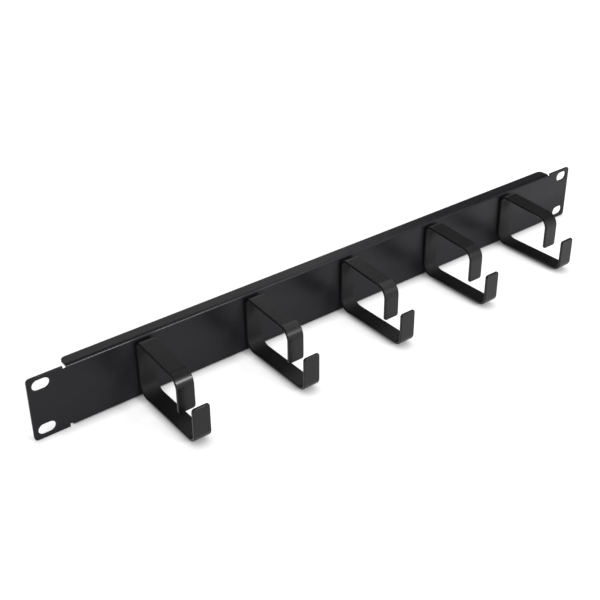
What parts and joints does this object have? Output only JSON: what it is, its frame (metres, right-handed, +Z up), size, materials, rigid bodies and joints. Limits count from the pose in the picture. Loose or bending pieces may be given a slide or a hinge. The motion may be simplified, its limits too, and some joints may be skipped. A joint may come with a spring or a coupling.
{
  "type": "horizontal cable manager",
  "caption": "Rack-width folded steel panel, black powder coat, with a row of open flat-strip rings on its front that guide cables along the rack.",
  "frame": {"origin": "centre of the four rack slots, on the front face of the panel", "axes": "+X along the panel to the right as seen from the front, +Y back into the rack, +Z up; the rings stand out towards -Y"},
  "size_m": [0.4826, 0.0737, 0.044],
  "materials": {
    "panel_coat": "fine satin black powder coat on folded sheet steel",
    "ring_coat": "fine satin black powder coat on bent steel strip"
  },
  "bodies": {
    "root": {"mounting_panel": "panel_coat", "cable_ring_1": "ring_coat", "cable_ring_2": "ring_coat", "cable_ring_3": "ring_coat", "cable_ring_4": "ring_coat", "cable_ring_5": "ring_coat"}
  },
  "joints": []
}
